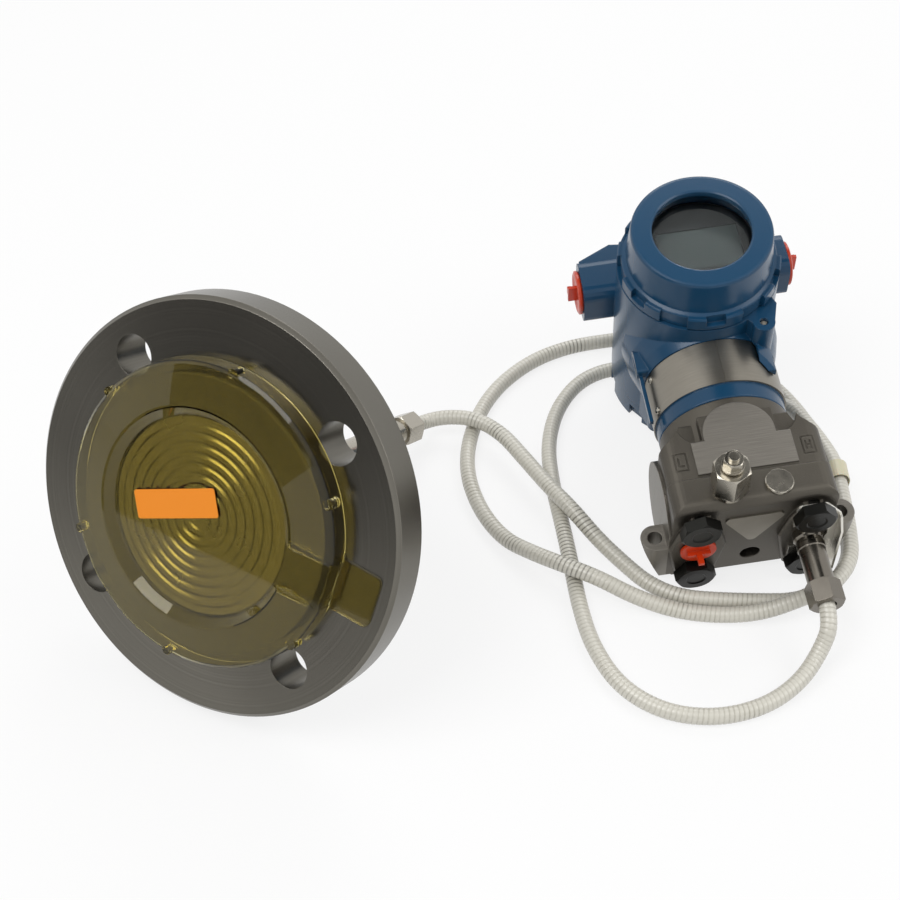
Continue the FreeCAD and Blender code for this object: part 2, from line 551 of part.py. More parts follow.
def conduit_plug(side):
    at, axis = (0, 0, conduit_z), (side, 0, 0)
    x = conduit_x + seat_gap
    plug = turned([(0, x), (11.3, x), (11.6, x + 0.5), (11.6, x + 1.6), (10.4, x + 2.2), (7.6, x + 1.4), (0, x + 1.4)], at, axis)
    shank = turned([(8.9, x - 8), (conduit_r - 0.08, x - 7.5), (conduit_r - 0.08, x + 0.5), (8.9, x + 0.5)], at, axis)
    tab = box(x + 1, x + 6.2, -5.2, 5.2, conduit_z - 0.9, conduit_z + 0.9)
    tip = box(x + 4.2, x + 6.2, -2.2, 2.2, conduit_z - 0.9, conduit_z + 3.4)
    handle = tab.fuse(tip)
    if side < 0:
        handle = handle.mirror(V(0, 0, 0), V(1, 0, 0))
    return fused([plug, shank, handle])


def cover_lock_screws():
    front = turned([(0, shell_front + 1), (1.2, shell_front + 1), (1.2, shell_front + 2), (1.9, shell_front + 2),
                    (1.9, -26), (0, -26)], (24.4, 0, 94), (0, 1, 0))
    rear = turned([(0, 26), (1.9, 26), (1.9, shell_rear - 2), (1.2, shell_rear - 2), (1.2, shell_rear - 1), (0, shell_rear - 1)],
                  (-24.4, 0, 95.5), (0, 1, 0))
    return Part.makeCompound([front, rear])


def housing_set_screw():
    axis = (0.5, 0.866, 0)
    return turned([(0, can_r + 1.4), (1.3, can_r + 1.4), (1.3, ring_r - 0.6), (0, ring_r - 0.6)], (0, 0, 63.4), axis)


# ================= poses =================
tx_turn = (FreeCAD.Rotation(V(0, 0, 1), tx_yaw).multiply(FreeCAD.Rotation(V(1, 0, 0), tx_pitch))
           .multiply(FreeCAD.Rotation(V(0, 1, 0), tx_roll)).multiply(FreeCAD.Rotation(V(1, 0, 0), -90)))
seal_turn = (FreeCAD.Rotation(V(0, 0, 1), seal_heading).multiply(FreeCAD.Rotation(V(1, 0, 0), 90 - seal_lean))
             .multiply(FreeCAD.Rotation(V(0, 0, 1), seal_spin)))

seal_makers = {"seal_flange": seal_flange, "diaphragm": diaphragm, "diaphragm_protector": diaphragm_protector,
               "part_label": part_label, "seal_stem": seal_stem, "seal_nut": seal_nut}
tx_makers = {"process_flange": process_flange, "module_orings": module_orings, "sensor_module": sensor_module,
             "flange_bolts": flange_bolts, "port_plug": port_plug, "vent_body": vent_body, "vent_stem": vent_stem,
             "vent_blank": vent_blank, "data_plate": data_plate, "clip_plate": clip_plate,
             "capillary_adapter": capillary_adapter, "adapter_nut": adapter_nut, "housing": housing,
             "nameplate_band": nameplate_band, "band_screws": band_screws, "display_cover": display_cover,
             "cover_glass": cover_glass, "display_cover_oring": display_cover_oring, "lcd_meter": lcd_meter,
             "lcd_pane": lcd_pane, "electronics_board": electronics_board, "terminal_cover": terminal_cover,
             "terminal_cover_oring": terminal_cover_oring, "terminal_block": terminal_block,
             "terminal_screws": terminal_screws, "conduit_plug_left": lambda: conduit_plug(-1),
             "conduit_plug_right": lambda: conduit_plug(1), "cover_lock_screws": cover_lock_screws,
             "housing_set_screw": housing_set_screw}

tx_shapes, seal_shapes = {}, {}
for name, make in tx_makers.items():
    shape = make()
    shape.Placement = FreeCAD.Placement(V(0, 0, 0), tx_turn).multiply(shape.Placement)
    tx_shapes[name] = shape
for name, make in seal_makers.items():
    shape = make()
    shape.Placement = FreeCAD.Placement(V(0, 0, 0), seal_turn).multiply(shape.Placement)
    seal_shapes[name] = shape


def lowest(shape):
    return shape.optimalBoundingBox(False).ZMin


tx_low = min(lowest(tx_shapes[n]) for n in ("terminal_cover", "flange_bolts"))
print("lowest: terminal cover %.3f, bolts %.3f" % (lowest(tx_shapes["terminal_cover"]), lowest(tx_shapes["flange_bolts"])))
lean = math.radians(seal_lean)
seal_z = flange_r * math.cos(lean) + (flange_t - flange_edge) * math.sin(lean)
tx_move = V(tx_x, tx_y, -tx_low)
seal_move = V(seal_x, seal_y, seal_z)
shapes = {}
for name, shape in tx_shapes.items():
    shape.translate(tx_move)
    shapes[name] = shape
for name, shape in seal_shapes.items():
    shape.translate(seal_move)
    shapes[name] = shape

# origin under the middle of everything except the capillary
hull = FreeCAD.BoundBox()
for shape in shapes.values():
    hull.add(shape.optimalBoundingBox(False))
origin = V((hull.XMin + hull.XMax) / 2, (hull.YMin + hull.YMax) / 2, 0)
for shape in shapes.values():
    shape.translate(-origin)


def tx_point(x, y, z):
    return tx_turn.multVec(V(x, y, z)) + tx_move


def seal_point(x, y, z):
    return seal_turn.multVec(V(x, y, z)) + seal_move


# ================= capillary =================
seal_exit = seal_point(0, 0, -stem_end - 1.0)
seal_clear = seal_point(0, 0, -stem_end - nut_len - 10.0)
adapter_exit = tx_point(port_x, 0, nut_seat - 1.2)
adapter_clear = tx_point(port_x, 0, -nut_low - 8.0)
low = cord_r
tie_wall, tie_void, tie_half = 0.5, 1.0, 5.5
tie_z, tie_y, tie_low_x, tie_high_x = cord_r + tie_void + tie_wall + 0.2, 598.0, 197.8, 198.4
strand_a = [(-3, 642.5, 12.4), (13, 641, 12.7), (27, 630, 12.7), (38, 612, 12.6), (50, 591.5, 12.7), (61.5, 575, 12.8),
            (73.5, 560.5, 6.8), (85.5, 547, low), (97, 533.0, low), (112, 524.6, low), (131, 522.8, low),
            (150, 522.2, low), (168.4, 522.4, low), (188.4, 532.2, low), (199.6, 552.5, low), (198.5, 571, 4.8),
            (tie_low_x, tie_y - 9, tie_z), (tie_low_x, tie_y + 9, tie_z),
            (196, 628, low), (191, 648, low), (182.5, 667.5, low), (171, 684.5, low), (156, 700, low), (137, 712, low),
            (114, 717, low), (92, 714, low)]
strand_b = [(66, 708, low), (43, 694.5, low), (23, 671, low), (11.5, 642, low), (8, 612, low), (14.5, 584, low),
            (26.5, 563, low), (40, 549, 9.5), (55, 538, 12.9), (71, 530, 12.9), (90, 522.0, 7.0), (110, 515.8, low),
            (131, 513.2, low), (150, 512.9, 6.8), (169, 517.0, 12.6), (185.5, 525.8, 12.9), (196.3, 541.2, 12.9),
            (198.2, 560, 13.0), (198.4, 575, 13.8), (tie_high_x, tie_y - 8, tie_z + 8.7), (tie_high_x, tie_y + 8, tie_z + 8.7),
            (194.5, 622, 13.2), (188.5, 638, 12.6), (182.5, 651.5, 11.0), (174.5, 662.0, 4.6), (162, 672.5, low),
            (143, 685.5, low), (121, 691, low), (98, 692, low)]
strand_c = [(74.5, 683.5, low), (58.5, 660, low), (51.5, 630, low), (53, 600, low), (57, 571, low), (60, 545, low),
            (62.5, 519, low), (67.5, 494, low), (78.5, 471, low), (97.5, 456.5, low), (121, 453.0, low), (144.5, 459.5, low),
            (162, 472, 6.0), (173, 486.5, 11.0)]
cord_points = [seal_exit, seal_clear] + [V(*p) for p in strand_a + strand_b + strand_c] + [adapter_clear, adapter_exit]
cord_points = [p - origin for p in cord_points]


def capillary():
    pts = cord_points
    edges, radii, length = [], [], 0.0
    start = pts[0]
    for i in range(1, len(pts) - 1):
        p, a, b = pts[i], pts[i - 1], pts[i + 1]
        da, db = (a - p), (b - p)
        la, lb = da.Length, db.Length
        da.normalize()
        db.normalize()
        half = math.acos(max(-1, min(1, da.dot(db)))) / 2
        cut = 0.45 * min(la, lb)
        radius = cut * math.tan(half)
        radii.append(radius)
        turn = 180 - 2 * math.degrees(half)
        if turn > 88:
            print("sharp turn", i, round(turn))
        first, last = p + da * cut, p + db * cut
        bis = (da + db)
        bis.normalize()
        mid = p + bis * (radius / math.sin(half) - radius)
        edges.append(Part.LineSegment(start, first).toShape())
        edges.append(Part.Arc(first, mid, last).toShape())
        start = last
    edges.append(Part.LineSegment(start, pts[-1]).toShape())
    wire = Part.Wire(edges)
    length = wire.Length
    tangent = (pts[1] - pts[0])
    tangent.normalize()
    circle = Part.Wire([Part.Circle(pts[0], tangent, cord_r).toShape()])
    solid = wire.makePipeShell([circle], True, True)
    want = math.pi * cord_r ** 2 * length
    print("capillary length %.0f, volume %.0f of %.0f, radii %s" % (length, solid.Volume, want, [round(r) for r in radii]))
    return solid, length


def strand_tie():
    # tape sleeve round both strands where one lies on the other
    def loop(r):
        pts = [(tie_low_x + r * math.cos(math.radians(t)), tie_z + r * math.sin(math.radians(t))) for t in range(-180, 1, 15)]
        pts += [(tie_high_x + r * math.cos(math.radians(t)), tie_z + 8.7 + r * math.sin(math.radians(t))) for t in range(0, 181, 15)]
        return pts
    r = cord_r + tie_void
    sleeve = prism(loop(r + tie_wall), tie_y - tie_half, tie_y + tie_half, "xz")
    sleeve = sleeve.cut(prism(loop(r), tie_y - 2 * tie_half, tie_y + 2 * tie_half, "xz"))
    sleeve.translate(-origin)
    return sleeve


shapes["strand_tie"] = strand_tie()
shapes["capillary"], cord_length = capillary()

triangles = 0
for name, shape in shapes.items():
    shape.exportStep("parts/%s.step" % name)
    count = len(shape.tessellate(0.5)[1])
    triangles += count
    if not shape.isValid() or count > 1200:
        print(name, "valid", shape.isValid(), "solids", len(shape.Solids), "triangles", count)
print("nodes", len(shapes), "triangles", triangles)
whole = FreeCAD.BoundBox()
for shape in shapes.values():
    whole.add(shape.optimalBoundingBox(False))
print("origin %.3f %.3f" % (origin.x, origin.y))
print("box", [round(v, 2) for v in (whole.XMin, whole.YMin, whole.ZMin, whole.XMax, whole.YMax, whole.ZMax)])


def tell(name, point, direction=None):
    p = point - origin
    text = "datum %s %.6f %.6f %.6f" % (name, p.x / 1000, p.y / 1000, p.z / 1000)
    if direction is not None:
        text += " axis %.6f %.6f %.6f" % (direction.x, direction.y, direction.z)
    print(text)


tell("display_cover", tx_point(0, shell_front, axis_z), tx_turn.multVec(V(0, -1, 0)))
tell("terminal_cover", tx_point(0, shell_rear, axis_z), tx_turn.multVec(V(0, 1, 0)))
tell("vent", tx_point(-12, body_front - 20, 8.4), tx_turn.multVec(V(0, -1, 0)))
tell("port_plug", tx_point(-port_x, 0, -boss_h), tx_turn.multVec(V(0, 0, -1)))
tell("plug_left", tx_point(-conduit_x, 0, conduit_z), tx_turn.multVec(V(-1, 0, 0)))
tell("plug_right", tx_point(conduit_x, 0, conduit_z), tx_turn.multVec(V(1, 0, 0)))
tell("seal_front", seal_point(0, 0, 0), seal_turn.multVec(V(0, 0, 1)))
tell("seal_back", seal_point(0, 0, -flange_t), seal_turn.multVec(V(0, 0, -1)))
tell("seal_rim_back", seal_point(84, 40, -flange_t))
tell("ear_left", tx_point(-45.3, 1, 7), tx_turn.multVec(V(0, -1, 0)))
tell("ear_right", tx_point(45.3, 1, 7), tx_turn.multVec(V(0, -1, 0)))
tell("base_hole", tx_point(0.9, 16.2, 0), tx_turn.multVec(V(0, 0, -1)))
for k in range(4):
    t = math.radians(90 * k)
    tell("seal_hole_%d" % k, seal_point(bolt_circle_r * math.cos(t), bolt_circle_r * math.sin(t), -flange_t / 2))
tell("terminal_space", tx_point(0, 42, axis_z))
tell("base_space", tx_point(0.9, 16.2, 4.2))
tell("tx_rotation", V(0, 0, 0) + origin, V(*tx_turn.toEuler()))
tell("tx_origin", tx_point(0, 0, 0))
print("cord", [tuple(round(v / 1000, 5) for v in p) for p in cord_points], round(cord_length / 1000, 4))
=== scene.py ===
import bpy
import math
from mathutils import Vector, Matrix, Euler


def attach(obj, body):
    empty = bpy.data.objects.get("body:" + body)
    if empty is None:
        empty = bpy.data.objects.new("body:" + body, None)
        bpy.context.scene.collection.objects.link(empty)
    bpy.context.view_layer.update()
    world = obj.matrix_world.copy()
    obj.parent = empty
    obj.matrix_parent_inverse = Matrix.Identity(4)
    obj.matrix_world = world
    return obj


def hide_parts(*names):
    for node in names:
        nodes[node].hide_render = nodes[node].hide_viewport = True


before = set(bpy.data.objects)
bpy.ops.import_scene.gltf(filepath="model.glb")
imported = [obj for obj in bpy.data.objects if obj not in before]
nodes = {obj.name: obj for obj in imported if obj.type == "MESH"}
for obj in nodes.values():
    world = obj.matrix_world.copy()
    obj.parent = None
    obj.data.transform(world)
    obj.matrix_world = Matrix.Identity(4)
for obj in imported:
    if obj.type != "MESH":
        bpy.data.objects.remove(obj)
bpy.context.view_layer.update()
print("frame loaded", len(nodes))

# metres from the spot below the camera to the frame's origin, and the camera's height, tilt and lens
view = {"originX": 0.004005, "originY": 0.578145, "height": 0.6298, "tilt": 45, "sensor": 36, "lens": 67.04}


def linear(hexCode):
    # sRGB hex to linear colour
    values = [int(hexCode[i:i + 2], 16) / 255 for i in (1, 3, 5)]
    return tuple(v / 12.92 if v <= 0.04045 else ((v + 0.055) / 1.055) ** 2.4 for v in values) + (1.0,)


def addNode(tree, kind, settings=None, **sockets):
    # sockets go by name, or as i0, i1 and so on by number
    node = tree.nodes.new(kind)
    for key, value in (settings or {}).items():
        setattr(node, key, value)
    for key, value in sockets.items():
        name = key.replace("_", " ")
        socket = node.inputs[int(key[1:])] if key[0] == "i" and key[1:].isdigit() else node.inputs[name]
        if hasattr(value, "is_output"):
            tree.links.new(value, socket)
        else:
            socket.default_value = value
    return node


def newMaterial(name, **sockets):
    material = bpy.data.materials.new(name)
    material.use_nodes = True
    tree = material.node_tree
    tree.nodes.clear()
    shader = addNode(tree, "ShaderNodeBsdfPrincipled", **sockets)
    output = addNode(tree, "ShaderNodeOutputMaterial")
    tree.links.new(shader.outputs[0], output.inputs[0])
    return material, tree, shader


def wear(tree, coordinate, scale, detail, low, high):
    noise = addNode(tree, "ShaderNodeTexNoise", Vector=coordinate, Scale=scale, Detail=detail)
    ramp = addNode(tree, "ShaderNodeMapRange", i0=noise.outputs[0], i1=0.3, i2=0.7, i3=low, i4=high)
    return ramp.outputs[0]


camera = bpy.data.objects.new("camera", bpy.data.cameras.new("camera"))
bpy.context.collection.objects.link(camera)
camera.location = (-view["originX"], -view["originY"], view["height"])
camera.rotation_euler = (math.radians(view["tilt"]), 0, 0)
camera.data.sensor_width = view["sensor"]
camera.data.lens = view["lens"]
bpy.context.scene.camera = camera

# axes of the transmitter and of the seal, for finishes that follow their shape
transmitterAxes = bpy.data.objects.new("transmitterAxes", None)
transmitterAxes.location = (0.140295, -0.039445, 0.032800)
transmitterAxes.rotation_euler = Euler([math.radians(a) for a in (-77.669800, -4.592055, 6.997411)], "XYZ")
sealAxes = bpy.data.objects.new("sealAxes", None)
sealAxes.location = (-0.108305, -0.079745, 0.093409)
sealTurn = (Matrix.Rotation(math.radians(-32.1), 3, "Z") @ Matrix.Rotation(math.radians(90 - 26.4), 3, "X")
            @ Matrix.Rotation(math.radians(46.0), 3, "Z"))
sealAxes.rotation_euler = sealTurn.to_euler()
for empty in (transmitterAxes, sealAxes):
    bpy.context.collection.objects.link(empty)
    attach(empty, "transmitter")


def edgeNormal(tree, radius, bump=None):
    # a worn edge of this radius, in metres, catches light on sharp corners
    bevel = addNode(tree, "ShaderNodeBevel", {"samples": 4}, Radius=radius)
    if bump:
        tree.links.new(bump, bevel.inputs["Normal"])
    return bevel.outputs[0]


def paint(name, hexCode, roughness):
    # sprayed polyurethane: an even gloss with a faint orange peel of about 1 mm
    material, tree, shader = newMaterial(
        name, Base_Color=linear(hexCode), Roughness=roughness, Specular_IOR_Level=0.34)
    where = addNode(tree, "ShaderNodeTexCoord").outputs["Object"]
    peel = addNode(tree, "ShaderNodeTexNoise", Vector=where, Scale=900.0, Detail=2.0)
    bump = addNode(tree, "ShaderNodeBump", Strength=0.05, Distance=0.0004, Height=peel.outputs[0])
    tree.links.new(edgeNormal(tree, 0.0008, bump.outputs[0]), shader.inputs["Normal"])
    return material


def plainMetal(name, hexCode, roughness):
    # machined or pressed metal: patches of wear change the gloss a little
    edge = 0.0003
    material, tree, shader = newMaterial(name, Base_Color=linear(hexCode), Metallic=1.0, Roughness=roughness)
    where = addNode(tree, "ShaderNodeTexCoord").outputs["Object"]
    tree.links.new(wear(tree, where, 60.0, 4.0, roughness - 0.06, roughness + 0.08), shader.inputs["Roughness"])
    tree.links.new(edgeNormal(tree, edge), shader.inputs["Normal"])
    return material


def castMetal(name):
    # bead-blasted casting: dull and mottled; the front above the foot and the outer sides get brush strokes,
    # which are finish, and a lighter tone, which is painted light on these faces
    padFront, padFoot, padSide = -0.0328, 0.0180, 0.0401    # metres on the transmitter's axes
    material, tree, shader = newMaterial(name, Metallic=0.9, Roughness=0.42)
    where = addNode(tree, "ShaderNodeTexCoord", {"object": transmitterAxes}).outputs["Object"]
    parts = addNode(tree, "ShaderNodeSeparateXYZ", i0=where)
    proud = addNode(tree, "ShaderNodeMath", {"operation": "LESS_THAN"}, i0=parts.outputs[1], i1=padFront)
    above = addNode(tree, "ShaderNodeMath", {"operation": "GREATER_THAN"}, i0=parts.outputs[2], i1=padFoot)
    pad = addNode(tree, "ShaderNodeMath", {"operation": "MULTIPLY"}, i0=proud.outputs[0], i1=above.outputs[0])
    side = addNode(tree, "ShaderNodeMath", {"operation": "ABSOLUTE"}, i0=parts.outputs[0])
    litSide = addNode(tree, "ShaderNodeMath", {"operation": "GREATER_THAN"}, i0=side.outputs[0], i1=padSide)
    bright = addNode(tree, "ShaderNodeMath", {"operation": "MAXIMUM"},
                     i0=pad.outputs[0], i1=litSide.outputs[0]).outputs[0]
    stretch = addNode(tree, "ShaderNodeMapping", i0=where, i3=(60.0, 1.0, 2400.0))
    strokes = addNode(tree, "ShaderNodeTexNoise", Vector=stretch.outputs[0], Scale=1.0, Detail=3.0)
    fine = addNode(tree, "ShaderNodeTexNoise", Vector=where, Scale=1400.0, Detail=3.0)
    mottled = addNode(tree, "ShaderNodeTexNoise", Vector=where, Scale=35.0, Detail=4.0)
    castTone = addNode(tree, "ShaderNodeMix", {"data_type": "RGBA"},
                       i0=mottled.outputs[0], i6=linear("#4d4943"), i7=linear("#605c54"))
    # painted light: the brushed front and side faces are coloured lighter than the cast around them
    litPadTone = addNode(tree, "ShaderNodeMix", {"data_type": "RGBA"},
                      i0=strokes.outputs[0], i6=linear("#65615b"), i7=linear("#8b877f"))
    tone = addNode(tree, "ShaderNodeMix", {"data_type": "RGBA"},
                   i0=bright, i6=castTone.outputs[2], i7=litPadTone.outputs[2])
    tree.links.new(tone.outputs[2], shader.inputs["Base Color"])
    height = addNode(tree, "ShaderNodeMix", {"data_type": "FLOAT"},
                     i0=bright, i2=fine.outputs[0], i3=strokes.outputs[0])
    bump = addNode(tree, "ShaderNodeBump", Strength=0.25, Distance=0.0003, Height=height.outputs[0])
    tree.links.new(edgeNormal(tree, 0.0009, bump.outputs[0]), shader.inputs["Normal"])
    return material


def turnedMetal(name):
    # lathe-turned faces: highlights fan out from the seal's axis, over rings drawn about 1 mm coarse to show
    material, tree, shader = newMaterial(name, Metallic=1.0, Roughness=0.27, Anisotropic=0.85)
    where = addNode(tree, "ShaderNodeTexCoord", {"object": sealAxes}).outputs["Object"]
    parts = addNode(tree, "ShaderNodeSeparateXYZ", i0=where)
    minusY = addNode(tree, "ShaderNodeMath", {"operation": "MULTIPLY"}, i0=parts.outputs[1], i1=-1.0)
    around = addNode(tree, "ShaderNodeCombineXYZ", i0=minusY.outputs[0], i1=parts.outputs[0], i2=0.0)
    spun = addNode(tree, "ShaderNodeVectorRotate", {"rotation_type": "EULER_XYZ"},
                   Vector=around.outputs[0], Rotation=tuple(sealTurn.to_euler()))
    unit = addNode(tree, "ShaderNodeVectorMath", {"operation": "NORMALIZE"}, i0=spun.outputs[0])
    tree.links.new(unit.outputs[0], shader.inputs["Tangent"])
    flat = addNode(tree, "ShaderNodeCombineXYZ", i0=parts.outputs[0], i1=parts.outputs[1], i2=0.0)
    radius = addNode(tree, "ShaderNodeVectorMath", {"operation": "LENGTH"}, i0=flat.outputs[0])
    rings = addNode(tree, "ShaderNodeTexNoise", {"noise_dimensions": "1D"},
                    W=radius.outputs["Value"], Scale=900.0, Detail=4.0)
    cloud = addNode(tree, "ShaderNodeTexNoise", Vector=where, Scale=14.0, Detail=4.0)
    mixed = addNode(tree, "ShaderNodeMath", {"operation": "MULTIPLY"}, i0=rings.outputs[0], i1=cloud.outputs[0])
    tone = addNode(tree, "ShaderNodeMix", {"data_type": "RGBA"},
                   i0=mixed.outputs[0], i6=linear("#625f58"), i7=linear("#85827a"))
    tree.links.new(tone.outputs[2], shader.inputs["Base Color"])
    bump = addNode(tree, "ShaderNodeBump", Strength=0.06, Distance=0.0002, Height=rings.outputs[0])
    tree.links.new(edgeNormal(tree, 0.0004, bump.outputs[0]), shader.inputs["Normal"])
    return material


def brushedPlate(name, hexCode):
    # brushed sheet: strokes about 0.4 mm apart, running round the neck
    darkStroke = 0.72    # a stroke's tone as a share of the sheet's
    material, tree, shader = newMaterial(name, Metallic=1.0, Roughness=0.34)
    where = addNode(tree, "ShaderNodeTexCoord", {"object": transmitterAxes}).outputs["Object"]
    stretch = addNode(tree, "ShaderNodeMapping", i0=where, i3=(90.0, 90.0, 2600.0))
    strokes = addNode(tree, "ShaderNodeTexNoise", Vector=stretch.outputs[0], Scale=1.0, Detail=3.0)
    base = linear(hexCode)
    dark = tuple(v * darkStroke for v in base[:3]) + (1.0,)
    tone = addNode(tree, "ShaderNodeMix", {"data_type": "RGBA"}, i0=strokes.outputs[0], i6=dark, i7=base)
    tree.links.new(tone.outputs[2], shader.inputs["Base Color"])
    bump = addNode(tree, "ShaderNodeBump", Strength=0.12, Distance=0.0002, Height=strokes.outputs[0])
    tree.links.new(bump.outputs[0], shader.inputs["Normal"])
    return material


def moulded(name, hexCode, roughness, subsurface=0.0):
    # moulded plastic or rubber: smooth and even, and soft in thin walls where light gets in
    material, tree, shader = newMaterial(name, Base_Color=linear(hexCode), Roughness=roughness)
    if subsurface:
        shader.inputs["Subsurface Weight"].default_value = subsurface
        shader.inputs["Subsurface Scale"].default_value = 0.002
    tree.links.new(edgeNormal(tree, 0.0004), shader.inputs["Normal"])
    return material


def clearSheet(name, hexCode, roughness, ior):
    # clear sheet: what lies behind shows through, tinted twice over
    return newMaterial(
        name, Base_Color=linear(hexCode), Roughness=roughness, Transmission_Weight=1.0, IOR=ior)[0]


def sleeveFinish(name):
    # translucent sleeve over spiral armour: painted shade darkens the grooves, more in some blotches than
    # others, and patches of dirt soil them
    material, tree, shader = newMaterial(name, Roughness=0.34, Coat_Weight=0.3, Coat_Roughness=0.2)
    shade = addNode(tree, "ShaderNodeAttribute", {"attribute_name": "groove"})
    where = addNode(tree, "ShaderNodeTexCoord").outputs["Object"]
    shadeNoise = addNode(tree, "ShaderNodeTexNoise", Vector=where, Scale=55.0, Detail=5.0)
    shadeStrength = addNode(tree, "ShaderNodeMapRange", i0=shadeNoise.outputs[0], i1=0.48, i2=0.72, i3=0.35, i4=1.0)
    depth = addNode(tree, "ShaderNodeMath", {"operation": "MULTIPLY"},
                    i0=shade.outputs["Fac"], i1=shadeStrength.outputs[0])
    # painted shade: the grooves are coloured darker, towards #8a8472, where shade would fall
    tone = addNode(tree, "ShaderNodeMix", {"data_type": "RGBA"},
                   i0=depth.outputs[0], i6=linear("#d0cdc2"), i7=linear("#8a8472"))
    patches = addNode(tree, "ShaderNodeTexNoise", Vector=where, Scale=24.0, Detail=6.0)
    grime = addNode(tree, "ShaderNodeMapRange", i0=patches.outputs[0], i1=0.6, i2=0.66, i3=0.0, i4=0.9)
    soiled = addNode(tree, "ShaderNodeMath", {"operation": "MULTIPLY"},
                     i0=shade.outputs["Fac"], i1=grime.outputs[0])
    tone = addNode(tree, "ShaderNodeMix", {"data_type": "RGBA"},
                   i0=soiled.outputs[0], i6=tone.outputs[2], i7=linear("#3b382f"))
    tree.links.new(tone.outputs[2], shader.inputs["Base Color"])
    return material


bluePaint = paint("bluePolyurethanePaint", "#14405f", 0.24)
castSteel = castMetal("castStainless")
turnedSteel = turnedMetal("turnedStainless")
brightSteel = plainMetal("machinedStainless", "#aaa59a", 0.26)
darkFitting = plainMetal("darkNickel", "#77726a", 0.24)
sheetSteel = plainMetal("sheetStainless", "#dcd9d1", 0.32)
blackBolt = plainMetal("blackOxideSteel", "#272725", 0.34)
bandSteel = brushedPlate("brushedNameplate", "#928d83")
foilSteel = plainMetal("diaphragmFoil", "#8f8b80", 0.22)
orangePlastic = moulded("orangePolyethylene", "#c23408", 0.3, 0.03)
blackRubber = moulded("nitrileRubber", "#151515", 0.6)
greyPlastic = moulded("greyBezel", "#0e1011", 0.4)
darkPlastic = moulded("blackPlastic", "#1b1c1c", 0.5)
lcdFilm = moulded("unlitDisplay", "#363f3e", 0.3)
labelPaper = moulded("orangeLabel", "#ea880c", 0.6)
tapeCream = moulded("creamTape", "#cfc9ae", 0.4, 0.1)
clearGlass = clearSheet("clearGlass", "#f2f7f7", 0.0, 1.5)
amberSheet = clearSheet("amberSheet", "#d8cd92", 0.03, 1.38)
whiteSleeve = sleeveFinish("whiteSleeve")

finishes = {
    "seal_flange": turnedSteel, "diaphragm": foilSteel, "diaphragm_protector": amberSheet,
    "part_label": labelPaper, "seal_stem": brightSteel, "seal_nut": brightSteel, "strand_tie": tapeCream,
    "capillary_adapter": darkFitting, "adapter_nut": darkFitting, "clip_plate": sheetSteel,
    "process_flange": castSteel, "sensor_module": castSteel, "module_orings": blackRubber,
    "flange_bolts": blackBolt, "port_plug": orangePlastic, "vent_body": brightSteel, "vent_stem": brightSteel,
    "vent_blank": brightSteel, "data_plate": bandSteel, "housing": bluePaint, "display_cover": bluePaint,
    "terminal_cover": bluePaint, "nameplate_band": bandSteel, "band_screws": brightSteel,
    "cover_glass": clearGlass, "display_cover_oring": blackRubber, "terminal_cover_oring": blackRubber,
    "lcd_meter": greyPlastic, "lcd_pane": lcdFilm, "electronics_board": darkPlastic,
    "terminal_block": darkPlastic, "terminal_screws": brightSteel, "conduit_plug_left": orangePlastic,
    "conduit_plug_right": orangePlastic, "cover_lock_screws": brightSteel, "housing_set_screw": brightSteel,
}
for name, finish in finishes.items():
    piece = nodes[name]
    piece.data.materials.clear()
    piece.data.materials.append(finish)
    piece.data.shade_smooth()
    piece.data.set_sharp_from_angle(angle=math.radians(32))
print("finishes", len(finishes))


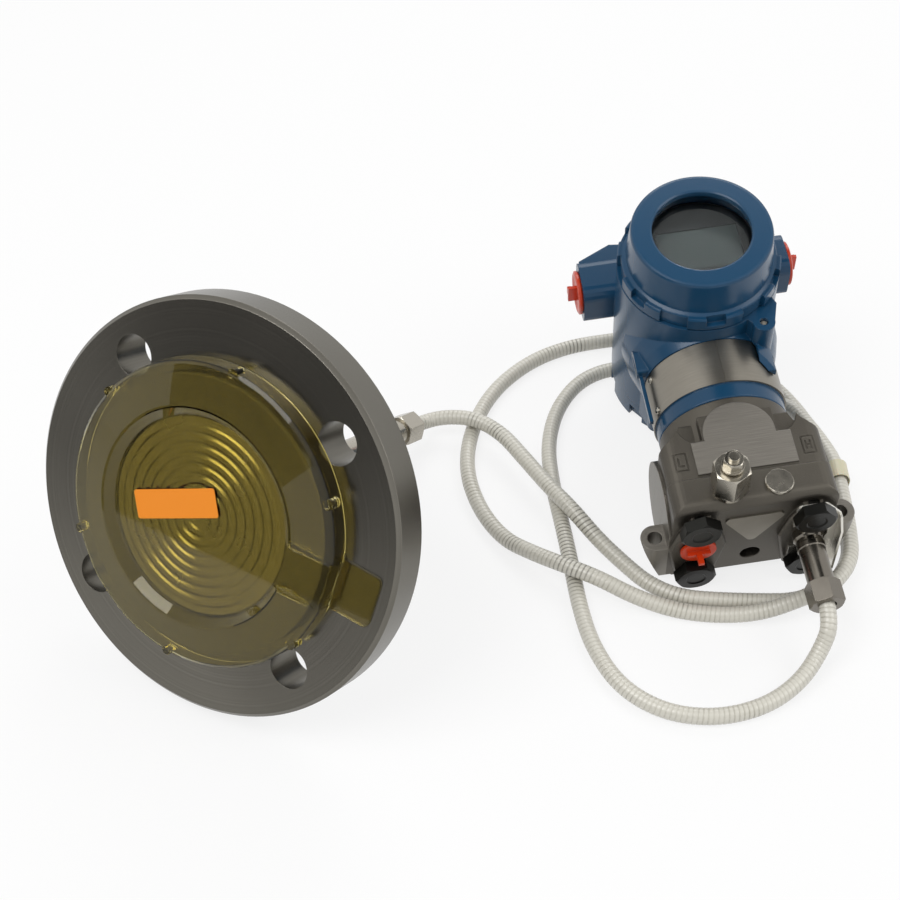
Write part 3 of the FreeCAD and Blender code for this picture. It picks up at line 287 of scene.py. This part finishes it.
def makeCapillary():
    # metres: outside size, rib spacing and groove depth; then faces round the line and path steps per rib
    capillary = {"diameter": 0.008, "rib": 0.0023, "depth": 0.00022, "around": 16, "perRib": 7}
    route = [
        (-0.03072, 0.04394, 0.02093), (-0.01958, 0.06169, 0.01053), (-0.00701, 0.06435, 0.0124),
        (0.00899, 0.06285, 0.0127), (0.02299, 0.05185, 0.0127), (0.03399, 0.03385, 0.0126),
        (0.04599, 0.01335, 0.0127), (0.05749, -0.00315, 0.0128), (0.06949, -0.01765, 0.0068),
        (0.08149, -0.03115, 0.004), (0.09299, -0.04515, 0.004), (0.10799, -0.05355, 0.004),
        (0.12699, -0.05535, 0.004), (0.14599, -0.05595, 0.004), (0.16439, -0.05575, 0.004),
        (0.18439, -0.04595, 0.004), (0.19559, -0.02565, 0.004), (0.19449, -0.00715, 0.0048),
        (0.19379, 0.01085, 0.0057), (0.19379, 0.02885, 0.0057), (0.19199, 0.04985, 0.004),
        (0.18699, 0.06985, 0.004), (0.17849, 0.08935, 0.004), (0.16699, 0.10635, 0.004),
        (0.15199, 0.12185, 0.004), (0.13299, 0.13385, 0.004), (0.10999, 0.13885, 0.004),
        (0.08799, 0.13585, 0.004), (0.06199, 0.12985, 0.004), (0.03899, 0.11635, 0.004),
        (0.01899, 0.09285, 0.004), (0.00749, 0.06385, 0.004), (0.00399, 0.03385, 0.004),
        (0.01049, 0.00585, 0.004), (0.02249, -0.01515, 0.004), (0.03599, -0.02915, 0.0095),
        (0.05099, -0.04015, 0.0129), (0.06699, -0.04815, 0.0129), (0.08599, -0.05615, 0.007),
        (0.10599, -0.06235, 0.004), (0.12699, -0.06495, 0.004), (0.14599, -0.06525, 0.0068),
        (0.16499, -0.06115, 0.0126), (0.18149, -0.05235, 0.0129), (0.19229, -0.03695, 0.0129),
        (0.19419, -0.01815, 0.013), (0.19439, -0.00315, 0.0138), (0.19439, 0.01185, 0.0144),
        (0.19439, 0.02785, 0.0144), (0.19049, 0.04385, 0.0132), (0.18449, 0.05985, 0.0126),
        (0.17849, 0.07335, 0.011), (0.17049, 0.08385, 0.0046), (0.15799, 0.09435, 0.004),
        (0.13899, 0.10735, 0.004), (0.11699, 0.11285, 0.004), (0.09399, 0.11385, 0.004),
        (0.07049, 0.10535, 0.004), (0.05449, 0.08185, 0.004), (0.04749, 0.05185, 0.004),
        (0.04899, 0.02185, 0.004), (0.05299, -0.00715, 0.004), (0.05599, -0.03315, 0.004),
        (0.05849, -0.05915, 0.004), (0.06349, -0.08415, 0.004), (0.07449, -0.10715, 0.004),
        (0.09349, -0.12165, 0.004), (0.11699, -0.12515, 0.004), (0.14049, -0.11865, 0.004),
        (0.15799, -0.10615, 0.006), (0.16899, -0.09165, 0.011), (0.17331, -0.08461, 0.02428),
        (0.17082, -0.0669, 0.02817),
    ]
    curve = bpy.data.curves.new("capillaryRoute", "CURVE")
    curve.dimensions = "3D"
    spline = curve.splines.new("NURBS")
    spline.points.add(len(route) - 1)
    for point, place in zip(spline.points, route):
        point.co = (*place, 1.0)
    spline.order_u = 3
    spline.use_endpoint_u = True
    spline.resolution_u = 24
    line = bpy.data.objects.new("capillaryRoute", curve)
    bpy.context.collection.objects.link(line)
    bpy.context.view_layer.update()
    sampled = bpy.data.meshes.new_from_object(line)
    path = [v.co.copy() for v in sampled.vertices]
    bpy.data.objects.remove(line)
    bpy.data.meshes.remove(sampled)
    # even steps along the line
    step = capillary["rib"] / capillary["perRib"]
    steps, along, reached = [path[0]], 0.0, 0.0
    for a, b in zip(path, path[1:]):
        piece = (b - a).length
        while reached + piece >= along + step:
            along += step
            steps.append(a.lerp(b, (along - reached) / piece))
        reached += piece
    steps.append(path[-1])
    print("capillary line", round(reached, 4), "rings", len(steps))
    radius = capillary["diameter"] / 2
    count = capillary["around"]
    verts, shades, faces = [], [], []
    tangent = (steps[1] - steps[0]).normalized()
    side = tangent.orthogonal().normalized()
    for i, place in enumerate(steps):
        ahead = steps[min(i + 1, len(steps) - 1)] - steps[max(i - 1, 0)]
        turn = tangent.rotation_difference(ahead.normalized())
        tangent = ahead.normalized()
        side = (turn @ side).normalized()
        other = tangent.cross(side)
        for k in range(count):
            angle = 2 * math.pi * k / count
            phase = i * step / capillary["rib"] + k / count
            groove = max(0.0, math.cos(2 * math.pi * phase)) ** 4
            r = radius - capillary["depth"] * groove
            verts.append(place + (side * math.cos(angle) + other * math.sin(angle)) * r)
            shades.append(groove)
    for i in range(len(steps) - 1):
        for k in range(count):
            a, b = i * count + k, i * count + (k + 1) % count
            faces.append((a, b, b + count, a + count))
    faces.append(tuple(range(count))[::-1])
    faces.append(tuple(range((len(steps) - 1) * count, len(steps) * count)))
    mesh = bpy.data.meshes.new("capillarySleeve")
    mesh.from_pydata(verts, [], faces)
    mesh.shade_smooth()
    shade = mesh.attributes.new("groove", "FLOAT", "POINT")
    shade.data.foreach_set("value", shades)
    mesh.materials.append(whiteSleeve)
    sleeve = bpy.data.objects.new("capillarySleeve", mesh)
    bpy.context.collection.objects.link(sleeve)
    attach(sleeve, "transmitter")
    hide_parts("capillary")


makeCapillary()
print("capillary")


def seenDirectly(tree):
    # 1 where the surround is looked at, mirrored or seen through glass, 0 where it lights something
    rays = addNode(tree, "ShaderNodeLightPath")
    first = addNode(tree, "ShaderNodeMath", {"operation": "MAXIMUM"},
                    i0=rays.outputs["Is Camera Ray"], i1=rays.outputs["Is Glossy Ray"])
    last = addNode(tree, "ShaderNodeMath", {"operation": "MAXIMUM"},
                   i0=first.outputs[0], i1=rays.outputs["Is Transmission Ray"])
    return last.outputs[0]


# pale floor and surround: half size in metres, share of white seen, and the surround's light
studio = {"reach": 6, "floorWhite": 0.8, "floorTone": 0.85, "glow": 0.45}


def squareMesh(name, half):
    mesh = bpy.data.meshes.new(name)
    corners = [(-half, -half, 0), (half, -half, 0), (half, half, 0), (-half, half, 0)]
    mesh.from_pydata(corners, [], [(0, 1, 2, 3)])
    return mesh


floorMesh = squareMesh("floor", studio["reach"])
floor = bpy.data.objects.new("floor", floorMesh)
bpy.context.collection.objects.link(floor)
floorFinish = bpy.data.materials.new("paleFloor")
floorFinish.use_nodes = True
tree = floorFinish.node_tree
tree.nodes.clear()
pureWhite = (1.0, 1.0, 1.0, 1.0)
floorGrey = (studio["floorTone"], studio["floorTone"], studio["floorTone"], 1.0)
share = addNode(tree, "ShaderNodeMath", {"operation": "MULTIPLY"},
                i0=seenDirectly(tree), i1=studio["floorWhite"])
matte = addNode(tree, "ShaderNodeBsdfDiffuse", Color=floorGrey)
white = addNode(tree, "ShaderNodeEmission", Color=pureWhite, Strength=1.0)
both = addNode(tree, "ShaderNodeMixShader", i0=share.outputs[0], i1=matte.outputs[0], i2=white.outputs[0])
addNode(tree, "ShaderNodeOutputMaterial", i0=both.outputs[0])
floorMesh.materials.append(floorFinish)

world = bpy.data.worlds.new("studio")
bpy.context.scene.world = world
world.use_nodes = True
tree = world.node_tree
tree.nodes.clear()
dim = addNode(tree, "ShaderNodeBackground", Color=pureWhite, Strength=studio["glow"])
full = addNode(tree, "ShaderNodeBackground", Color=pureWhite, Strength=1.0)
both = addNode(tree, "ShaderNodeMixShader", i0=seenDirectly(tree), i1=dim.outputs[0], i2=full.outputs[0])
addNode(tree, "ShaderNodeOutputWorld", i0=both.outputs[0])

# black cards that only mirrors see, so that metal and gloss show dark bands as in a studio
cards = {
    "frontCard": {"place": (-0.25, -1.5, 0.75), "aim": (0.0, 0.0, 0.1), "size": 0.8},
    "leftCard": {"place": (-1.15, -0.72, 0.3), "aim": (-0.1, -0.08, 0.1), "size": 0.75},
    "rightCard": {"place": (1.3, -0.9, 0.5), "aim": (0.0, 0.0, 0.1), "size": 0.7},
    "topCard": {"place": (0.15, 0.62, 1.75), "aim": (0.13, 0.1, 0.13), "size": 1.0},
}


def towards(item, axis):
    return (Vector(item["aim"]) - Vector(item["place"])).to_track_quat(axis, "Y").to_euler()


for name, item in cards.items():
    mesh = squareMesh(name, item["size"] / 2)
    card = bpy.data.objects.new(name, mesh)
    bpy.context.collection.objects.link(card)
    card.location = item["place"]
    card.rotation_euler = towards(item, "Z")
    mesh.materials.append(newMaterial(name, Base_Color=linear("#0c0c0c"), Roughness=0.9)[0])
    card.visible_camera = False
    card.visible_diffuse = False
    card.visible_shadow = False
    card.visible_transmission = False

# soft square lamps, in metres and watts
lamps = {
    "keyLight": {"place": (-0.7, -0.5, 1.4), "aim": (0.0, 0.0, 0.05), "size": 0.9, "power": 13.0},
    "fillLight": {"place": (1.1, -0.3, 1.0), "aim": (0.05, 0.0, 0.05), "size": 0.8, "power": 6.0},
    "backLight": {"place": (0.2, 1.1, 1.1), "aim": (0.05, 0.0, 0.05), "size": 0.8, "power": 6.0},
}
for name, lamp in lamps.items():
    light = bpy.data.lights.new(name, "AREA")
    light.shape = "SQUARE"
    light.size = lamp["size"]
    light.energy = lamp["power"]
    holder = bpy.data.objects.new(name, light)
    bpy.context.collection.objects.link(holder)
    holder.location = lamp["place"]
    holder.rotation_euler = towards(lamp, "-Z")
bpy.context.scene.view_settings.view_transform = "Standard"
print("light")
